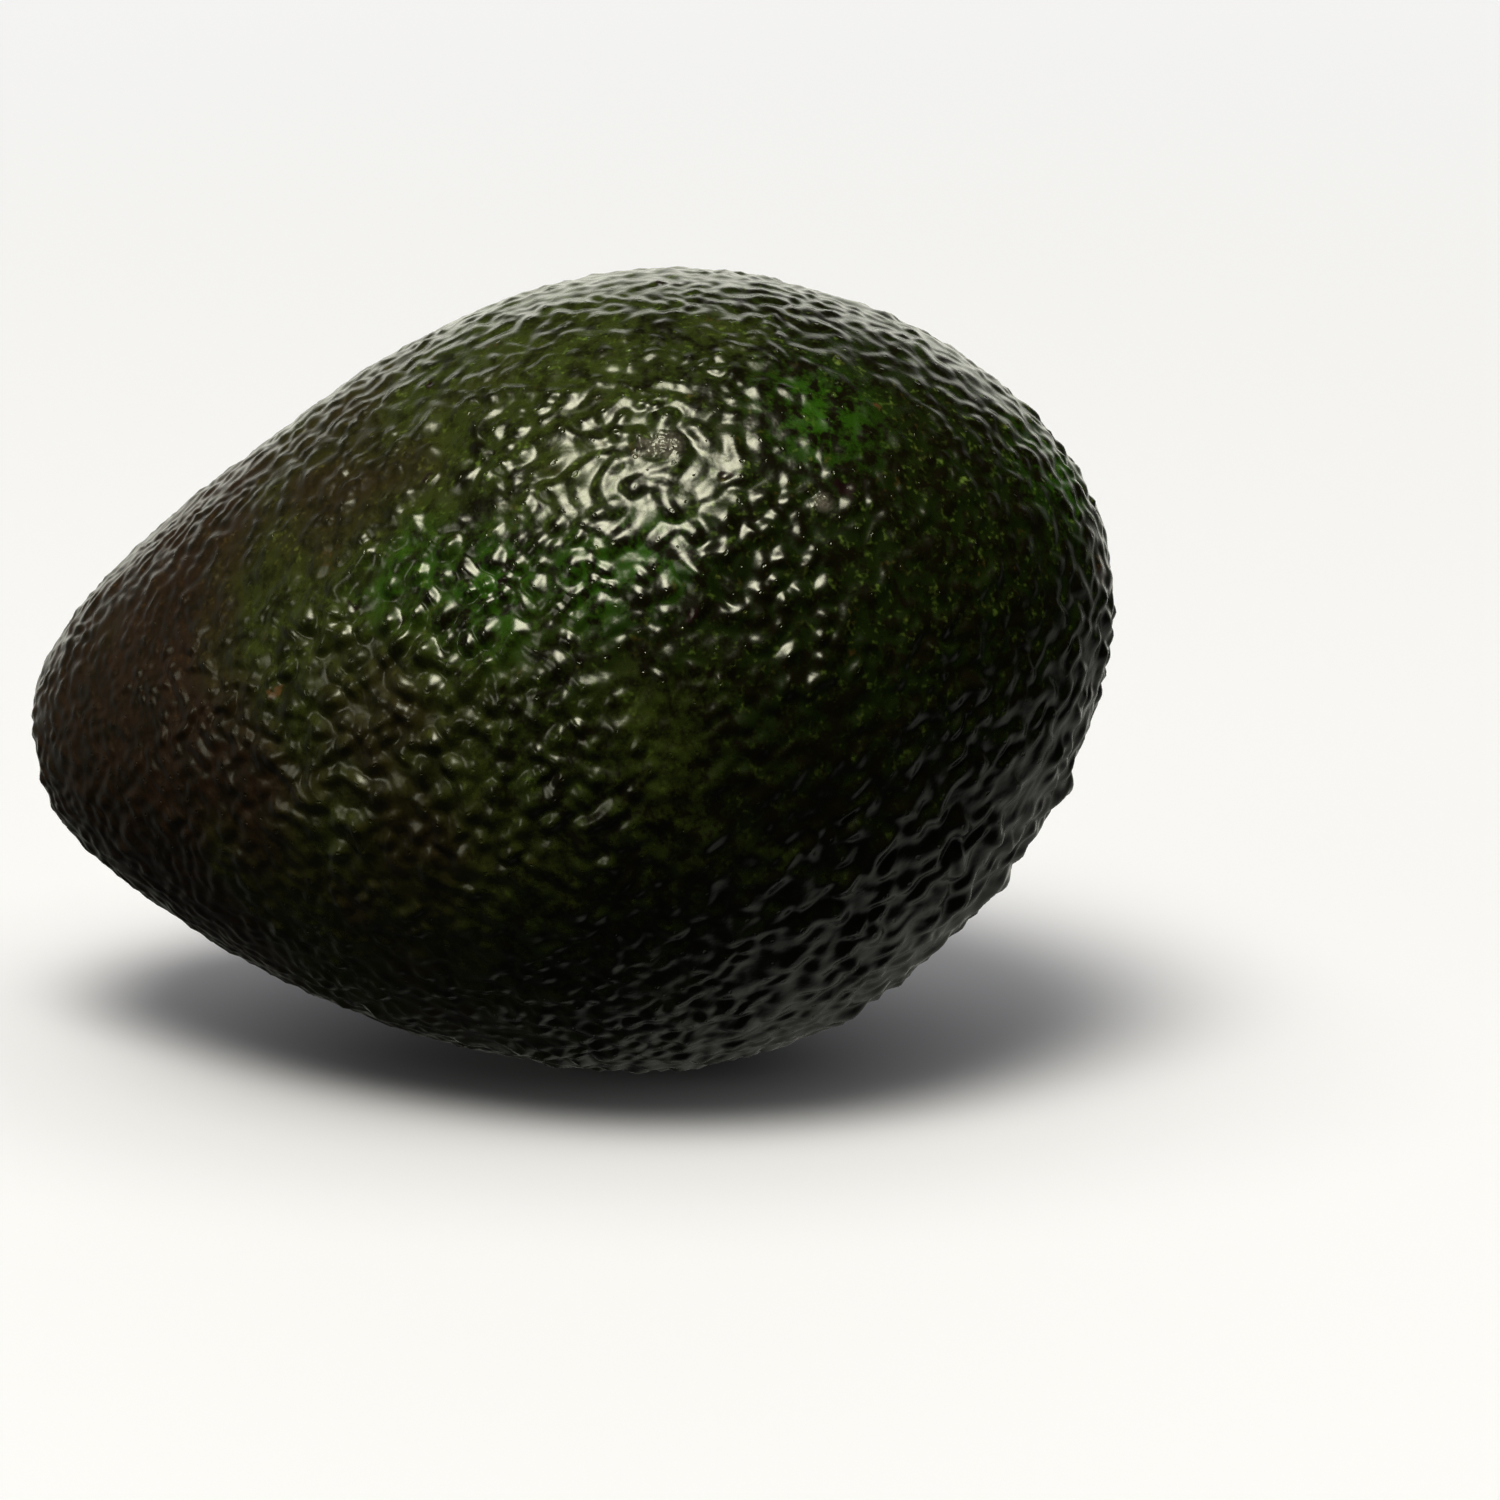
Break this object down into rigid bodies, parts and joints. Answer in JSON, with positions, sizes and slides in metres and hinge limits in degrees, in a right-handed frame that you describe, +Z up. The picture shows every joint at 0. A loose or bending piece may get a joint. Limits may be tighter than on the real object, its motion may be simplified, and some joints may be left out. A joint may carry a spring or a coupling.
{
  "type": "avocado",
  "caption": "Whole ripe Hass-type avocado lying on its side: pebbly dark green-black pear-shaped fruit with a dimpled stem end and a woody stem button.",
  "frame": {"origin": "on the ground plane under the middle of the fruit's bounding box, with the fruit lying on its side", "axes": "+X towards the fat blossom end, -X towards the stem end, +Z up"},
  "size_m": [0.1004, 0.0728, 0.0732],
  "materials": {
    "skin": "glossy pebbled fruit skin, dark green-black with brown-purple at the stem end",
    "stem": "dry, matt and woody, with a paler cut face"
  },
  "bodies": {
    "root": {"fruit": "skin", "stem_button": "stem"}
  },
  "joints": []
}
